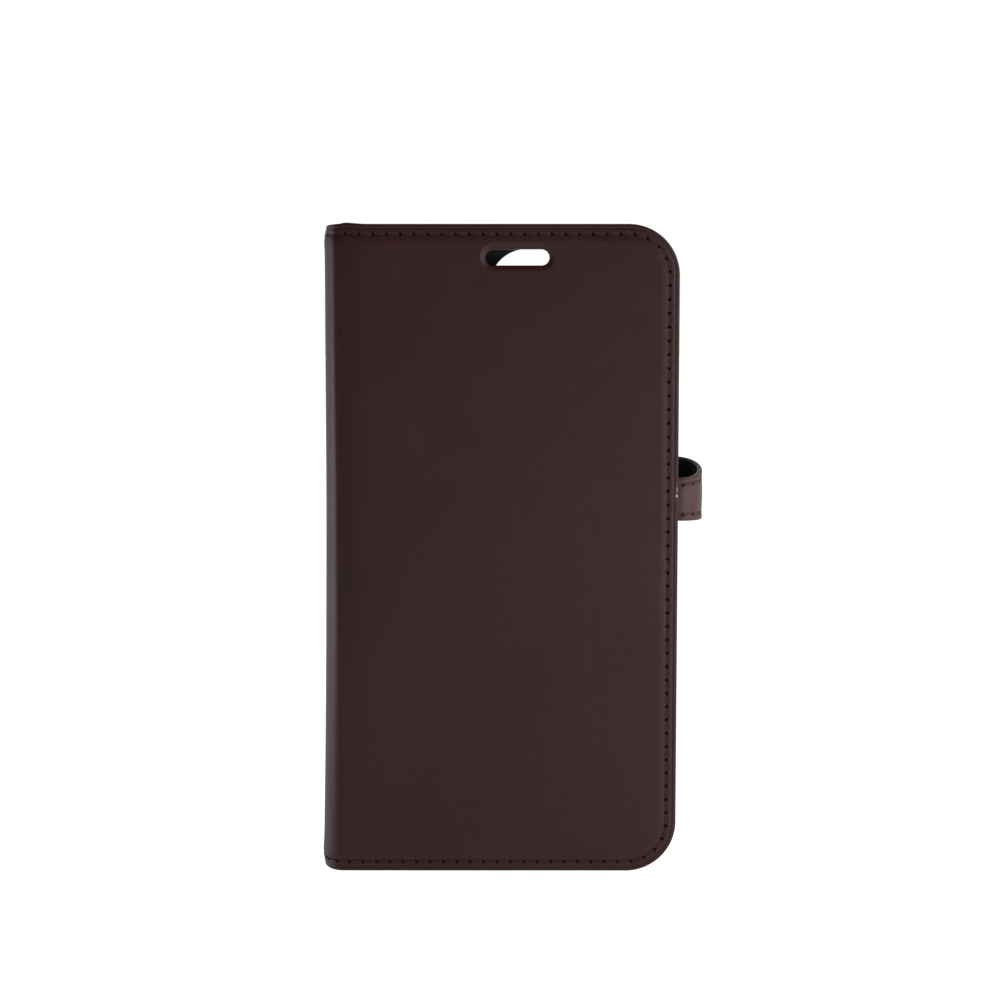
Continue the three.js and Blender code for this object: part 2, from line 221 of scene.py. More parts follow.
def rounded_loop(x0, x1, z0, z1, radius, grow, step=0.45):
    """Points round a rounded rectangle made larger all round by grow, the same number each."""
    corners = [(x1, z0, -90), (x1, z1, 0), (x0, z1, 90), (x0, z0, 180)]
    centres = [(x + (-radius if x == x1 else radius), z + (-radius if z == z1 else radius))
               for x, z, _ in corners]
    around = max(4, int(radius * math.pi / 2 / step))
    reach = radius + grow

    def on_arc(i, turn):
        cx, cz = centres[i]
        angle = math.radians(corners[i][2] + turn)
        return cx + reach * math.cos(angle), cz + reach * math.sin(angle)

    points = []
    for i in range(4):
        points += [on_arc(i, 90 * k / around) for k in range(around + 1)]
        following = (i + 1) % 4
        begin, end = points[-1], on_arc(following, 0)
        pieces = int(math.dist(centres[i], centres[following]) / (step * 3)) + 1
        for k in range(1, pieces):
            t = k / pieces
            points.append((begin[0] + (end[0] - begin[0]) * t, begin[1] + (end[1] - begin[1]) * t))
    return points


class Hole:
    """A rounded window through a sheet."""

    def __init__(self, x0, x1, z0, z1, radius):
        self.box = (x0, x1, z0, z1, radius)

    def area(self):
        x0, x1, z0, z1, radius = self.box
        return (x1 - x0) * (z1 - z0) - 4 * corner_cut(radius)

    def loop(self, grow):
        return rounded_loop(*self.box, grow)

    def distance(self, u, v):
        """How far points lie outside the window."""
        x0, x1, z0, z1, radius = self.box
        across = np.abs(u - (x0 + x1) / 2) - ((x1 - x0) / 2 - radius)
        up = np.abs(v - (z0 + z1) / 2) - ((z1 - z0) / 2 - radius)
        outside = np.hypot(np.maximum(across, 0), np.maximum(up, 0))
        return outside + np.minimum(np.maximum(across, up), 0) - radius


def inside(point, loop):
    """Whether a point lies inside a closed loop of points."""
    x, y = point
    odd = False
    for (x0, y0), (x1, y1) in zip(loop, loop[1:] + loop[:1]):
        if (y0 > y) != (y1 > y) and x < (x1 - x0) * (y - y0) / (y1 - y0) + x0:
            odd = not odd
    return odd


def quads(one, two, closed=False):
    """Four-sided polygons between two lines of points, closed or open, given by number."""
    count = len(one)
    return [(one[j], one[(j + 1) % count], two[(j + 1) % count], two[j])
            for j in range(count if closed else count - 1)]


class Flat:
    """Points and polygons in the plane of a pattern."""

    def __init__(self):
        self.points, self.polygons = [], []

    def add(self, u, v):
        self.points.append((u, v))
        return len(self.points) - 1

    def fill(self, loop, hole, spacing):
        """Triangles inside a loop of points and outside a hole in it."""
        border = [self.points[i] for i in loop]
        cut = [self.points[i] for i in hole]
        edges = np.array(border + cut)
        low, high = edges.min(axis=0), edges.max(axis=0)
        ids = list(loop) + list(hole)
        row = 0
        v = low[1] + spacing / 2
        while v < high[1]:
            u = low[0] + spacing * (0.5 if row % 2 else 1.0)
            while u < high[0]:
                near = np.hypot(edges[:, 0] - u, edges[:, 1] - v).min()
                if near > spacing * 0.4 and inside((u, v), border) and not inside((u, v), cut):
                    ids.append(self.add(u, v))
                u += spacing
            v += spacing * NET_ROWS
            row += 1
        n, m = len(loop), len(hole)
        lines = [(i, (i + 1) % n) for i in range(n)]
        lines += [(n + i, n + (i + 1) % m) for i in range(m)]
        flat = [Vector(self.points[i]) for i in ids]
        made, _, triangles, origin, _, _ = delaunay_2d_cdt(flat, lines, [], 1, 1e-5)
        for triangle in triangles:
            centre = sum((made[i] for i in triangle), Vector((0, 0))) / len(triangle)
            if not inside(centre, cut):
                self.polygons.append(tuple(ids[origin[i][0]] for i in triangle))


class Face(Flat):
    """One face of a sheet.

    Rows of points follow the outline at the given insets. Uprights join them across the
    pattern as far as strip_to, and triangles fill the rest round the hole's rims.
    """

    def __init__(self, pattern, rows, strip_to, hole=None, rims=(), spacing=4.0, rise=2.6):
        super().__init__()
        columns = pattern.columns
        last = len(columns) - 1
        rings = []
        for row in rows:
            out = pattern.inset - row
            rings.append([self.add(p[0] + w[0] * out, p[1] + w[1] * out) for p, w in columns])
        for inner, outer in zip(rings, rings[1:]):
            self.polygons += quads(inner, outer)
        self.outline = rings[-1]
        foot = rings[0]
        reach = min(range(last // 2), key=lambda j: abs(columns[j][0][0] - strip_to))
        v0, v1 = pattern.low + rows[0], pattern.high - rows[0]
        tall = max(2, round((v1 - v0) / rise))
        uprights = []
        for j in range(reach + 1):
            u = columns[j][0][0]
            line = [self.add(u, v0 + (v1 - v0) * k / tall) for k in range(1, tall)]
            uprights.append([foot[j], *line, foot[last - j]])
        for one, two in zip(uprights, uprights[1:]):
            self.polygons += quads(one, two)
        self.border = [ring[0] for ring in reversed(rings)] + uprights[0][1:-1]
        self.border += [ring[last] for ring in rings]
        loop = foot[reach:last - reach + 1] + uprights[-1][-2:0:-1]
        loops = [[self.add(*p) for p in hole.loop(grow)] for grow in rims] if hole else [[]]
        for inner, outer in zip(loops, loops[1:]):
            self.polygons += quads(inner, outer, closed=True)
        self.hole_loop = loops[0]
        self.fill(loop, loops[-1], spacing)


def make_mesh(name, points, polygons, materials, slots=None, sharp=48):
    mesh = bpy.data.meshes.new(name)
    mesh.from_pydata([tuple(p) for p in np.asarray(points) * MM], [], polygons)
    for material in materials:
        mesh.materials.append(material)
    if slots is not None:
        mesh.polygons.foreach_set("material_index", np.asarray(slots, dtype=np.int32))
    mesh.shade_smooth()
    mesh.set_sharp_from_angle(angle=math.radians(sharp))
    mesh.validate()
    piece = bpy.data.objects.new(name, mesh)
    bpy.context.scene.collection.objects.link(piece)
    return piece


def sheet(name, pattern, outer, inner, wrap, materials, rows, under_rows, held, rests_on,
          hole=None, shade=None, cut=None, **field):
    """A thin closed solid: outer and inner give the depths of its two faces.

    materials are those of its outer face, its inner face and its cut edges. shade gives the
    attribute of painted shade, by which leather is darker in holes and creases. cut is the width,
    length and area of the flat piece, where they aren't the pattern's. The rest is passed on to
    Face.
    """
    top = Face(pattern, rows, hole=hole, **field)
    under = Face(pattern, under_rows, hole=hole, **field)
    u, v = np.array(top.points).T
    above = wrap(u, v, outer(u, v))
    u, v = np.array(under.points).T
    below = wrap(u, v, inner(u, v))

    def lower(line):
        """The numbers that the lower face's points have in the whole mesh."""
        return [i + len(above) for i in line]

    walls = quads(top.outline, lower(under.outline))
    walls += quads(top.hole_loop[::-1], lower(under.hole_loop[::-1]), closed=True)
    walls.append(top.border[::-1] + lower(under.border))
    polygons = top.polygons + [lower(p[::-1]) for p in under.polygons] + walls
    slots = [0] * len(top.polygons) + [1] * len(under.polygons) + [2] * len(walls)
    piece = make_mesh(name, np.vstack([above, below]), polygons, materials, slots)
    outward(piece)
    # Painted shade: a per-point attribute that darkens the leather's colour in needle holes and
    # creases
    if shade:
        u, v = np.array(top.points).T
        painted_shade = piece.data.attributes.new("painted_shade", "FLOAT", "POINT")
        painted_shade.data.foreach_set("value", np.concatenate([shade(u, v), np.zeros(len(below))]))
    width, length, area = cut or pattern.cut()
    if hole:
        area -= hole.area()
    return piece


def stands_in(piece, slot, body, *nodes):
    """A piece that rides on one body, in place of CAD nodes."""
    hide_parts(*nodes)
    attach(piece, body)


def outward(piece):
    """Turns every face of a closed mesh outwards."""
    work = bmesh.new()
    work.from_mesh(piece.data)
    bmesh.ops.recalc_face_normals(work, faces=work.faces)
    if work.calc_volume(signed=True) < 0:
        bmesh.ops.reverse_faces(work, faces=work.faces)
    work.to_mesh(piece.data)
    work.free()


# ---- wraps: from the flat pattern to the case --


def spine_bulge(v):
    """How far the spine stands out at a height: fuller at its foot, flared at both ends."""
    low = 1 - v / HEIGHT
    ends = np.minimum(v, HEIGHT - v)
    flare = END_FLARE * bell(ends - STITCH_INSET, END_FLARE_WIDE)
    return SPINE_BULGE + LOW_BULGE * low**3 + flare


def cover_wrap(side):
    """Wraps a cover's pattern over the crease and half the spine. side is 1 at the front."""

    def wrap(u, v, depth):
        kink = math.radians(KINK) * smooth(v / HEIGHT * KINK_RISE)
        share = np.clip(above_zero(CREASE - u) / SPINE_LONG, 0, 1)
        angle = kink + (math.pi / 2 - kink) * share
        across = spine_bulge(v) / (1 - np.sin(kink))
        along = SPINE_HALF / np.cos(kink)
        x = CREASE + above_zero(u - CREASE) - across * (np.sin(angle) - np.sin(kink))
        y = along * np.cos(angle)
        turn = smooth((CREASE + TURN_START - u) / TURN_LONG)
        out_x = -along * np.sin(angle) * turn
        out_y = across * np.cos(angle)
        size = np.hypot(out_x, out_y)
        x -= depth * out_x / size
        y -= depth * out_y / size
        lift = TOP_LIFT * bell(u - CREASE - TOP_LIFT_AT, TOP_LIFT_WIDE)
        lift *= smooth((v - HEIGHT + TOP_LIFT_TALL) / TOP_LIFT_TALL)
        return np.column_stack([x, SPINE_MIDDLE - side * y, v + lift])

    return wrap


# ---- materials ---------------------------------

# Where the strap rubs the front cover's edge: along an axis, the leather is whole at the first
# place and worn at the second, in metres
STRAP_RUB = (("Z", 0.0965, 0.0975), ("Z", 0.1010, 0.0990), ("X", 0.0412, 0.0415),
             ("X", 0.0422, 0.0421), ("Y", -0.0084, -0.0086))
BARE = (0.42, 0.33, 0.29, 1)  # leather with its dye rubbed off
IN_SHADE = (0.004, 0.0015, 0.0015, 1)  # painted shade: the tone given to leather down in a needle hole or a crease


class Nodes:
    """The node tree of a material or a world, with short calls for the nodes used here."""

    def __init__(self, owner):
        owner.use_nodes = True
        self.owner = owner
        self.tree = owner.node_tree
        self.shader = self.tree.nodes.get("Principled BSDF")
        place = self.tree.nodes.new("ShaderNodeTexCoord")
        self.place = place.outputs["Object"]
        self.uv = place.outputs["UV"]
        self.around = place.outputs["Generated"]

    def give(self, socket, value):
        """Links a socket to another one, or sets its value."""
        if isinstance(value, bpy.types.NodeSocket):
            self.tree.links.new(value, socket)
        else:
            socket.default_value = value

    def node(self, kind, inputs=None, **settings):
        made = self.tree.nodes.new(kind)
        for key, value in settings.items():
            setattr(made, key, value)
        for key, value in (inputs or {}).items():
            self.give(made.inputs[key], value)
        return made

    def noise(self, scale, detail=4, rough=0.55, place=None):
        made = self.node("ShaderNodeTexNoise", {"Vector": place or self.place, "Scale": scale,
                                                "Detail": detail, "Roughness": rough})
        return made.outputs["Fac"]

    def cells(self, scale):
        """The distance to the edges of a net of cells."""
        made = self.node("ShaderNodeTexVoronoi", {"Vector": self.place, "Scale": scale},
                         feature="DISTANCE_TO_EDGE")
        return made.outputs["Distance"]

    def span(self, value, low, high, to_low, to_high):
        made = self.node("ShaderNodeMapRange", {"Value": value, "From Min": low, "From Max": high,
                                                "To Min": to_low, "To Max": to_high})
        return made.outputs["Result"]

    def mix(self, share, first, second):
        """A colour between two. The numbers are the mix node's sockets for colours."""
        made = self.node("ShaderNodeMix", {0: share, 6: first, 7: second}, data_type="RGBA")
        return made.outputs[2]

    def times(self, first, second):
        return self.node("ShaderNodeMath", {0: first, 1: second}, operation="MULTIPLY").outputs[0]

    def strap_wear(self):
        """Flecks of bare leather on the front cover's edge, where the strap rubs it."""
        axes = self.node("ShaderNodeSeparateXYZ", {"Vector": self.place}).outputs
        worn = self.span(self.noise(1500, 2), 0.53, 0.58, 0, 1)
        for axis, whole, bare in STRAP_RUB:
            worn = self.times(worn, self.span(axes[axis], whole, bare, 0, 1))
        return worn

    def bump(self, height, distance, strength=1.0, normal=None):
        inputs = {"Height": height, "Distance": distance, "Strength": strength}
        if normal is not None:
            inputs["Normal"] = normal
        return self.node("ShaderNodeBump", inputs).outputs["Normal"]

    def set(self, **values):
        for key, value in values.items():
            self.give(self.shader.inputs[key.replace("_", " ")], value)
        return self.owner


def new_material(name):
    return Nodes(bpy.data.materials.new(name))


def leather_material(name, dark, light, rough, grain=0.00004):
    """Smooth aniline leather: soft clouding in the dye, fine pores and a waxed finish."""
    n = new_material(name)
    cloud = n.span(n.noise(28, 5, 0.6), 0.3, 0.7, 0, 1)
    fine = n.span(n.noise(620, 3), 0.35, 0.65, 0, 1)
    dye = n.mix(cloud, dark, light)
    dye = n.mix(n.span(fine, 0, 1, 0, 0.22), dye, dark)
    # Painted shade: the leather is darkened towards IN_SHADE in its needle holes and creases
    painted_shade = n.node("ShaderNodeAttribute", attribute_name="painted_shade").outputs["Fac"]
    dye = n.mix(n.span(painted_shade, 0, 0.9, 0, 0.92), dye, IN_SHADE)
    dye = n.mix(n.strap_wear(), dye, BARE)
    pores = n.span(n.cells(2400), 0.0, 0.2, 0, 1)
    creases = n.noise(1500, 6, 0.62)
    normal = n.bump(pores, grain * 0.4)
    normal = n.bump(creases, grain, normal=normal)
    normal = n.bump(n.noise(120, 3), 0.00012, 0.6, normal)
    gloss = n.span(n.noise(75, 4), 0.3, 0.7, rough - 0.02, rough + 0.03)
    return n.set(Base_Color=dye, Roughness=gloss, Normal=normal, Specular_IOR_Level=0.25)


def edge_paint():
    """Dark acrylic paint on the cut edges of the leather, chipped where the strap rubs it."""
    n = new_material("edge_paint")
    tone = n.mix(n.noise(900, 3), (0.020, 0.008, 0.008, 1), (0.036, 0.016, 0.015, 1))
    tone = n.mix(n.strap_wear(), tone, BARE)
    return n.set(Base_Color=tone, Roughness=0.3, Normal=n.bump(n.noise(1300, 3), 0.00003))


def microfibre():
    """Black brushed microfibre: short nap with a soft sheen."""
    n = new_material("microfibre")
    nap = n.noise(2600, 5, 0.7)
    tone = n.mix(n.noise(140, 3), (0.009, 0.009, 0.010, 1), (0.017, 0.017, 0.019, 1))
    return n.set(Base_Color=tone, Roughness=0.95, Normal=n.bump(nap, 0.00009),
                 Sheen_Weight=0.12, Sheen_Roughness=0.5, Specular_IOR_Level=0.2)


def thread_material(name, dark, light):
    """Bonded two-ply thread: the ply shows as slanting ridges along each stitch."""
    n = new_material(name)
    turn = n.node("ShaderNodeMapping", {"Vector": n.uv, "Rotation": (0, 0, math.radians(38))})
    ply = n.node("ShaderNodeTexWave", {"Vector": turn.outputs["Vector"], "Scale": 2.6,
                                       "Distortion": 0.4}, wave_profile="SIN")
    tone = n.mix(ply.outputs["Fac"], dark, light)
    return n.set(Base_Color=tone, Roughness=0.6, Specular_IOR_Level=0.25,
                 Normal=n.bump(ply.outputs["Fac"], 0.00007))


def moulded(name, tone, rough, texture=0.00002):
    """Moulded plastic or rubber with a fine spark-eroded texture."""
    n = new_material(name)
    colour = n.mix(n.noise(60, 3), tone, tuple(c * 1.35 for c in tone[:3]) + (1,))
    gloss = n.span(n.noise(240, 4), 0.3, 0.7, rough - 0.05, rough + 0.06)
    return n.set(Base_Color=colour, Roughness=gloss, Normal=n.bump(n.noise(3800, 2), texture))


def board_material():
    """Pressed grey-brown fibre board."""
    n = new_material("board")
    flecks = n.span(n.noise(900, 5, 0.7), 0.35, 0.65, 0, 1)
    tone = n.mix(flecks, (0.12, 0.10, 0.08, 1), (0.22, 0.19, 0.15, 1))
    return n.set(Base_Color=tone, Roughness=0.9, Normal=n.bump(flecks, 0.00004))


def steel_material():
    """Nickel-plated steel with a drawn grain."""
    n = new_material("steel")
    grain = n.node("ShaderNodeMapping", {"Vector": n.place, "Scale": (60, 60, 2400)})
    streaks = n.noise(1, 4, 0.6, grain.outputs["Vector"])
    gloss = n.span(streaks, 0.3, 0.7, 0.24, 0.4)
    tone = n.mix(streaks, (0.5, 0.5, 0.5, 1), (0.62, 0.62, 0.61, 1))
    return n.set(Base_Color=tone, Metallic=1.0, Roughness=gloss,
                 Normal=n.bump(streaks, 0.00001))


BROWN = leather_material("leather_brown", (0.024, 0.0058, 0.0060, 1),
                         (0.035, 0.0080, 0.0082, 1), rough=0.44)
STRAP_BROWN = leather_material("leather_strap", (0.046, 0.017, 0.0155, 1),
                               (0.072, 0.029, 0.026, 1), rough=0.37)
POCKET = leather_material("leather_pocket", (0.010, 0.0085, 0.0085, 1),
                          (0.017, 0.0145, 0.0145, 1), rough=0.55, grain=0.00008)
PAINT = edge_paint()
NAP = microfibre()
RAW_EDGE = leather_material("leather_raw_edge", (0.14, 0.085, 0.07, 1), (0.24, 0.16, 0.135, 1),
                            rough=0.7, grain=0.00009)
THREAD = thread_material("thread_brown", (0.028, 0.008, 0.008, 1), (0.058, 0.019, 0.019, 1))
STRAP_THREAD = thread_material("thread_strap", (0.056, 0.022, 0.020, 1), (0.105, 0.046, 0.041, 1))
BLACK_THREAD = thread_material("thread_black", (0.005, 0.005, 0.006, 1), (0.014, 0.014, 0.015, 1))
TPU = moulded("soft_plastic", (0.0065, 0.007, 0.009, 1), 0.42)
BOND = moulded("bonding_pad", (0.55, 0.53, 0.49, 1), 0.7, 0.00004)
BOARD = board_material()
STEEL = steel_material()


# ---- covers ------------------------------------

COVER = Pattern(SPINE_EDGE, EDGE, 0, HEIGHT, CORNER, STITCH_INSET, shares=NEAR_HOLE)
SKIN_ROWS = [4.5, 4.0, 3.62, 3.35, 3.17, 3.03, 2.9, 2.77, 2.65, 2.53, 2.4, 2.27, 2.13, 1.93,
             1.6, 1.3, 1.18, 1.08, 0.98, 0.86, 0.7, 0.54, 0.4, 0.28, 0.17, 0.08, 0.0]
UNDER_ROWS = [4.5, 2.6, 1.0, 0.0]
STRIP_TO = CREASE + 7  # the uprights of the mesh run this far from the spine
PIT_REACH = 2.4  # no needle hole shapes the leather this far from the stitch line
TURNED_IN, TURNED_THICK = 1.3, 0.32  # depth and thickness of the leather turned in at a hole
RIMS = (0, 0.08, 0.18, 0.3, 0.45, 0.65, 0.9, 1.2, 1.5)  # mesh loops round a hole
VALLEY_AT, VALLEY_LEAN = 0.7, 1.4  # the valley's foot, from the crease, and its lean to the spine
VALLEY_LOW, VALLEY_HIGH = 0.04, 0.85  # its depth at the foot, and how much deeper it gets
VALLEY_WIDE = (3.6, 1.3)  # its width on the cover's side and on the spine's side
MARGIN = 5.5  # from the edge to where the leather starts to fall
BEAD_AT, BEAD_DEEP, BEAD_WIDE = 1.08, 0.13, 0.15  # the pressed line outside the stitches


def needle_pits(pattern, u, v, deep=0.5, wide=0.38, pucker=0.0):
    """Depth of the holes that the needle left, with the leather puckered round each."""
    depth = np.zeros_like(u)
    near = np.abs(pattern.edge_distance(u, v) - pattern.inset) < PIT_REACH
    for hu, hv in pattern.needle_holes():
        away = np.hypot(u[near] - hu, v[near] - hv)
        depth[near] += deep * np.exp(-((away / wide) ** 4))
        depth[near] += pucker * (bell(away, 0.95) - 0.9 * bell(away - 0.55, 0.16))
    return depth


def edge_roll(distance, radius=0.4):
    """The cut edge rolls over in a quarter round."""
    inner = np.clip(1 - distance / radius, 0, 1)
    return radius * (1 - np.sqrt(1 - inner**2))


def ripple(u, v, scale, size):
    """Slow unevenness of a hand-laid skin."""
    return size * np.array([noise.noise((a / scale, b / scale, 0.3)) for a, b in zip(u, v)])


def crease_valley(u, v):
    """The leather dips into the crease, most of all near the top."""
    up = np.clip(v / HEIGHT, 0, 1)
    away = u - (CREASE + VALLEY_AT - VALLEY_LEAN * up)
    deep = VALLEY_LOW + VALLEY_HIGH * smooth(up * 1.15)
    return deep * bell(away, np.where(away > 0, *VALLEY_WIDE))


def margin_depth(away):
    """How far the leather is drawn down near its edge, before and beyond the stitches."""
    fall = FALL * (1 - smooth(away / MARGIN)) + 0.16 * np.clip(1 - away / 2.2, 0, 1) ** 2
    groove = 0.15 * bell(away - STITCH_INSET, 0.45)
    return fall + groove


def cover_skin(hole, rim, rim_depth):
    """The outer face of a cover, drawn down round a hole by rim_depth."""

    def depth(u, v):
        away = COVER.edge_distance(u, v)
        total = margin_depth(away) + edge_roll(away) + crease_valley(u, v)
        total += BEAD_DEEP * bell(away - BEAD_AT, BEAD_WIDE)
        total += needle_pits(COVER, u, v, pucker=0.11)
        total += ripple(u, v, 23, 0.05)
        outside = np.clip(hole.distance(u, v), 0, rim)
        return total + rim_depth * (1 - outside / rim) ** 1.7

    return depth


def drawn_in(pattern, flat, pull, reach=3.0):
    """A face at a flat depth that is drawn up or down by pull at the edges."""

    def depth(u, v):
        away = pattern.edge_distance(u, v)
        return flat + pull * (1 - smooth(away / reach)) + 0.6 * crease_valley(u, v)

    return depth


def cover_shade(u, v):
    """Painted shade on a cover's leather: darker in its needle holes and in the crease."""
    return needle_pits(COVER, u, v, 1, 0.42) + 0.35 * crease_valley(u, v)


def cover_leather(name, side, board, hole, rim, rim_depth, *nodes):
    """Half of the outer skin. Round its hole the leather turns in to cover the boards' edge."""
    bottom = drawn_in(COVER, LEATHER, 0.42, 3.6)

    def inner(u, v):
        reach = np.clip(hole.distance(u, v), 0, TURNED_THICK) / TURNED_THICK
        return bottom(u, v) + TURNED_IN * (1 - smooth(reach * 1.02))

    piece = sheet(name, COVER, cover_skin(hole, rim, rim_depth), inner, cover_wrap(side),
                  [BROWN, BROWN, PAINT], SKIN_ROWS, UNDER_ROWS, "stretched", [board],
                  strip_to=STRIP_TO, hole=hole, rims=[grow for grow in RIMS if grow <= rim],
                  shade=cover_shade)
    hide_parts(*nodes)
    return piece


SLOT_X = (span("phone_shell", X)[0] + span("phone_shell", X)[1]) / 2
SLOT_HALF = (8.15, 2.05)
SLOT_UP = 158.6
slot = Hole(SLOT_X - SLOT_HALF[0], SLOT_X + SLOT_HALF[0], SLOT_UP - SLOT_HALF[1],
            SLOT_UP + SLOT_HALF[1], SLOT_HALF[1] - 0.01)
CAMERA_X, CAMERA_Z, CAMERA_CORNER = (-6.35, 36.65), (118.0, 161.4), 10.0
camera_window = Hole(*CAMERA_X, *CAMERA_Z, CAMERA_CORNER)

front_skin = cover_leather("leather_front", 1, "front_board", slot, SLOT_RIM, 0.85,
                           "front_leather", "spine_leather")
back_skin = cover_leather("leather_back", -1, "back_board", camera_window, WINDOW_RIM, 0.4,
                          "back_leather")


# ---- stitches ----------------------------------


def stitching(name, path, seat, wrap, material, thick=0.21, face=1, dip=0.5, slant=0.25):
    """Every stitch along a path, as a thread that dives into the needle holes.

    seat gives the depth of the leather under the thread, and face is -1 on an inner face.
    """
    along, around = 11, 8
    points, polygons, uvs = [], [], []
    for i in range(-1, path.stitches):
        start = path.pitch * (i + 0.5)
        first = max(0, -start / path.pitch)
        final = min(1, (path.length - start) / path.pitch)
        base = len(points)
        for k in range(along + 1):
            t = first + (final - first) * k / along
            (u, v), (wu, wv) = path.at(start + path.pitch * t)
            sink = dip * (bell(t, 0.14) + bell(1 - t, 0.14))
            slim = 1 - 0.25 * (bell(t, 0.2) + bell(1 - t, 0.2))
            for a in range(around):
                angle = 2 * math.pi * a / around
                off = slant * (t - 0.5) + thick * slim * math.cos(angle)
                lift = thick * 0.72 * slim * (0.55 + math.sin(angle))
                points.append((u + wu * off, v + wv * off, face * (sink - lift)))
                uvs.append((i + t, a / around))
        for k in range(along):
            for a in range(around):
                b = (a + 1) % around
                polygons.append((base + k * around + a, base + k * around + b,
                                 base + (k + 1) * around + b, base + (k + 1) * around + a))
        polygons.append(tuple(base + a for a in reversed(range(around))))
        polygons.append(tuple(base + along * around + a for a in range(around)))
    u, v, off = np.array(points).T
    piece = make_mesh(name, wrap(u, v, seat(u, v) + off), polygons, [material], sharp=80)
    layer = piece.data.uv_layers.new(name="thread")
    for loop in piece.data.loops:
        layer.data[loop.index].uv = uvs[loop.vertex_index]
    outward(piece)
    return piece


def channel(u, v):
    """Depth of the leather under the covers' thread."""
    return margin_depth(COVER.edge_distance(u, v)) + crease_valley(u, v)


front_stitches = stitching("stitches_front", COVER, channel, cover_wrap(1), THREAD)
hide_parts("front_thread", "spine_thread_bottom", "spine_thread_top")
back_stitches = stitching("stitches_back", COVER, channel, cover_wrap(-1), THREAD)
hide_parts("back_thread")


# ---- linings -----------------------------------

LINING_TOP, LINING_BOTTOM = 2.0, 2.4
LINING_PULL = -0.5  # how far the stitches draw the lining towards the leather
LINING_EDGE = 0.15  # how far it stops short of the leather's edge
LINING = Pattern(SPINE_EDGE, EDGE - LINING_EDGE, LINING_EDGE, HEIGHT - LINING_EDGE,
                 CORNER - LINING_EDGE, STITCH_INSET - LINING_EDGE)
LINING_ROWS = [4.3, 2.3, 1.0, 0.3, 0.0]
LINING_RIMS = (0, 0.3, 0.8)


def lining(name, side, board, hole, *nodes):
    """Half of the lining."""
    piece = sheet(name, LINING, drawn_in(LINING, LINING_TOP, LINING_PULL),
                  drawn_in(LINING, LINING_BOTTOM, LINING_PULL), cover_wrap(side),
                  [NAP, NAP, PAINT], LINING_ROWS, LINING_ROWS, "laid", [board],
                  strip_to=STRIP_TO, hole=hole, rims=LINING_RIMS)
    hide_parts(*nodes)
    return piece


front_lining = lining("lining_front", 1, "front_board", slot, "front_lining", "spine_lining")
back_lining = lining("lining_back", -1, "back_board", camera_window, "back_lining")

# The covers' leather, stitches and linings are baked in place
for piece in (front_skin, front_stitches, front_lining):
    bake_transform(piece)
for piece in (back_skin, back_stitches, back_lining):
    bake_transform(piece)

BOARD_TOP, BOARD_BOTTOM = 1.12, 1.72
BOARD_SHARE = 0.66  # how much of the spine the board covers


def spine_stiffener():
    """The strip of board inside the spine, between the leather and the lining."""
    shares = np.linspace(-BOARD_SHARE, BOARD_SHARE, 31)
    heights = np.linspace(*span("spine_board", Z), 25)
    front, back = cover_wrap(1), cover_wrap(-1)
    layers = []
    for depth in (BOARD_TOP, BOARD_BOTTOM):
        for v in heights:
            u = SPINE_EDGE + np.abs(shares) * SPINE_LONG
            level = np.full_like(u, v)
            ahead, behind = (wrap(u, level, depth) for wrap in (front, back))
            layers.append(np.where(shares[:, None] < 0, behind, ahead))
    n, rows = len(shares), len(heights)
    half = n * rows
    polygons = []
    for r in range(rows - 1):
        for j in range(n - 1):
            k = r * n + j
            polygons.append((k, k + 1, k + n + 1, k + n))
            polygons.append((half + k, half + k + n, half + k + n + 1, half + k + 1))
    rim = list(range(n)) + [r * n + n - 1 for r in range(1, rows)]
    rim += [half - 1 - j for j in range(1, n)] + [r * n for r in range(rows - 2, 0, -1)]
    for a, b in zip(rim, rim[1:] + rim[:1]):
        polygons.append((a, a + half, b + half, b))
    piece = make_mesh("board_spine", np.vstack(layers), polygons, [BOARD])
    outward(piece)
    stands_in(piece, "board", "spine", "spine_board")


spine_stiffener()

# ---- strap -------------------------------------

STRAP_LEATHER = 0.8
STRAP_LINING = (0.9, 1.4)  # depths of its two faces
STRAP_END = span("strap_tab_leather", X)[0]
STRAP_TONGUE = span("strap_root", X)[0]
STRAP_LOW, STRAP_WIDTH = 91.5, 10.8
STRAP_CLIMB, STRAP_DROP = 4.8, 0.6  # its edges spread apart towards the back
STRAP_OUT = span("strap_side_leather", X)[1]
BEND_OUT = 6.05  # from the start of the bend to the leather's middle
BEND_X = STRAP_OUT - STRAP_LEATHER / 2 - BEND_OUT
STRAP_FRONT, STRAP_BACK = span("strap_root", Y)[0], span("strap_tab_leather", Y)[1]
STRAP_MIDDLE = (STRAP_FRONT + STRAP_BACK) / 2
BEND_HALF = (STRAP_BACK - STRAP_FRONT) / 2 - STRAP_LEATHER / 2
STRAP_INSET = 1.6
STRAP_DOWN = 0.12  # its face lies this far inside the CAD model's
NAP_EDGE = 0.12  # how far its lining stops short of its edge
STRAP_BLEND = 2.2  # a distance along the strap to either side of its joint

BEND_ANGLES, BEND_ARC = arc_table(BEND_HALF, BEND_OUT)
BEND_LONG = BEND_ARC[-1]


def strap_wrap(side):
    """Wraps half of the strap from the outermost point of its bend. side is -1 in front."""

    def wrap(u, v, depth):
        angle = np.interp(u, BEND_ARC, BEND_ANGLES)
        grow = STRAP_LEATHER / 2 - depth
        x = BEND_X + (BEND_OUT + grow) * np.cos(angle) - np.maximum(u - BEND_LONG, 0)
        y = STRAP_MIDDLE + side * (BEND_HALF + grow) * np.sin(angle)
        along = (y - STRAP_FRONT) / (STRAP_BACK - STRAP_FRONT)
        up = v / STRAP_WIDTH
        climb = (STRAP_CLIMB * up - STRAP_DROP * (1 - up)) * along
        return np.column_stack([x, y, STRAP_LOW + v + climb])

    return wrap


